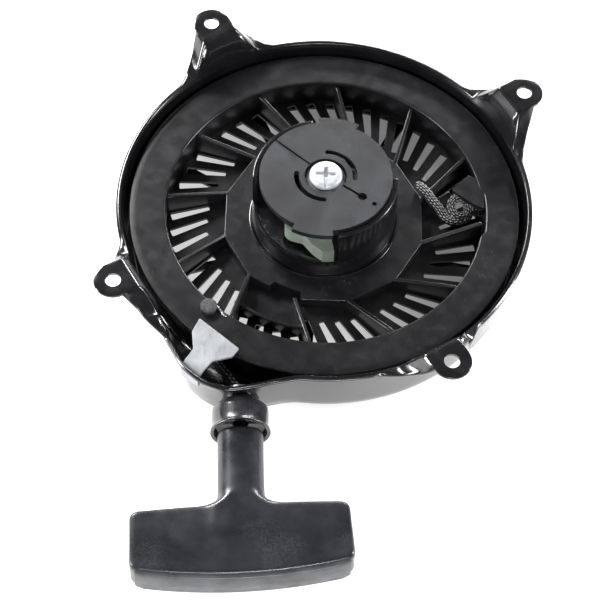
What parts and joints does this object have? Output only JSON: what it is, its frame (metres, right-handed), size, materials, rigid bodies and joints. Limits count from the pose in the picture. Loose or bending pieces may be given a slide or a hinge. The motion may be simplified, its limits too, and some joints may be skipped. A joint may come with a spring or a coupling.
{
  "type": "recoil starter",
  "caption": "Pull-rope recoil starter: drawn steel cover with mounting ears, slotted rope sheave, spring-return pawls under a retainer disc, and a T-handle on a braided rope.",
  "frame": {"origin": "centre of the ear bolt circle, in the plane of the ear faces", "axes": "+Z points to the engine, along the sheave's axis; -Y is roughly the way the handle is pulled"},
  "size_m": [0.2102, 0.3047, 0.0579],
  "materials": {
    "shell_paint": "gloss black paint on drawn sheet steel",
    "strap_steel": "smooth zinc-plated sheet",
    "collar_plastic": "gloss black moulded nylon",
    "bare_steel": "plain plated steel",
    "spring_steel": "oiled spring steel",
    "sheave_plastic": "satin black glass-filled nylon",
    "hub_plastic": "smooth black glass-filled nylon",
    "peg_plastic": "cut grey nylon",
    "rope_braid": "braided nylon rope with light flecks",
    "pawl_nylon": "pale natural nylon",
    "retainer_plastic": "grained slate-black plastic",
    "zinc_screw": "bright zinc plate",
    "handle_plastic": "satin black moulded plastic"
  },
  "bodies": {
    "housing": {"housing_shell": "shell_paint", "rope_guard_strap": "strap_steel", "outlet_collar": "collar_plastic", "rope_eyelet": "bare_steel", "centre_post": "bare_steel", "post_thrust_washer": "bare_steel", "recoil_spring": "spring_steel", "rope_lead": "rope_braid", "brake_spring": "spring_steel", "brake_washer": "bare_steel", "centre_screw": "zinc_screw"},
    "sheave": {"rope_sheave": "sheave_plastic", "pawl_hub": "hub_plastic", "sheave_peg": "peg_plastic", "rope_winding": "rope_braid", "rope_anchor_knot": "rope_braid", "spring_keeper": "spring_steel", "pawl_spring_a": "spring_steel", "pawl_spring_b": "spring_steel"},
    "retainer": {"retainer_disc": "retainer_plastic"},
    "pawl_front": {"pawl_a": "pawl_nylon"},
    "pawl_rear": {"pawl_b": "pawl_nylon"},
    "handle": {"handle_grip": "handle_plastic", "handle_end_cap": "handle_plastic", "handle_rope": "rope_braid", "handle_knot": "rope_braid", "handle_washer": "bare_steel"}
  },
  "joints": [
    {"name": "sheave_spin", "type": "hinge", "parent": "housing", "child": "sheave", "pos_m": [0, 0, -0.03], "axis": [0, 0, 1], "range_deg": [0, 720], "stiffness_Nm_per_rad": 0.06, "springref_deg": -360.96},
    {"name": "handle_pull", "type": "slide", "parent": "housing", "child": "handle", "axis": [0.0732, -0.9973, 0], "range_m": [0, 1.09]},
    {"name": "retainer_turn", "type": "hinge", "parent": "sheave", "child": "retainer", "pos_m": [0, 0, 0.004], "axis": [0, 0, 1], "range_deg": [-28, 0], "stiffness_Nm_per_rad": 0.004, "springref_deg": 28.65},
    {"name": "pawl_front_swing", "type": "hinge", "parent": "sheave", "child": "pawl_front", "pos_m": [-0.01319, -0.01884, -0.012], "axis": [0, 0, 1], "range_deg": [-35.5, 0]},
    {"name": "pawl_rear_swing", "type": "hinge", "parent": "sheave", "child": "pawl_rear", "pos_m": [0.01319, 0.01884, -0.012], "axis": [0, 0, 1], "range_deg": [-35.5, 0]}
  ],
  "couplings": [
    {"joint": "handle_pull", "follows": "sheave_spin", "m_per_rad": 0.086},
    {"joint": "pawl_front_swing", "follows": "retainer_turn", "ratio": 1.25},
    {"joint": "pawl_rear_swing", "follows": "retainer_turn", "ratio": 1.25}
  ]
}
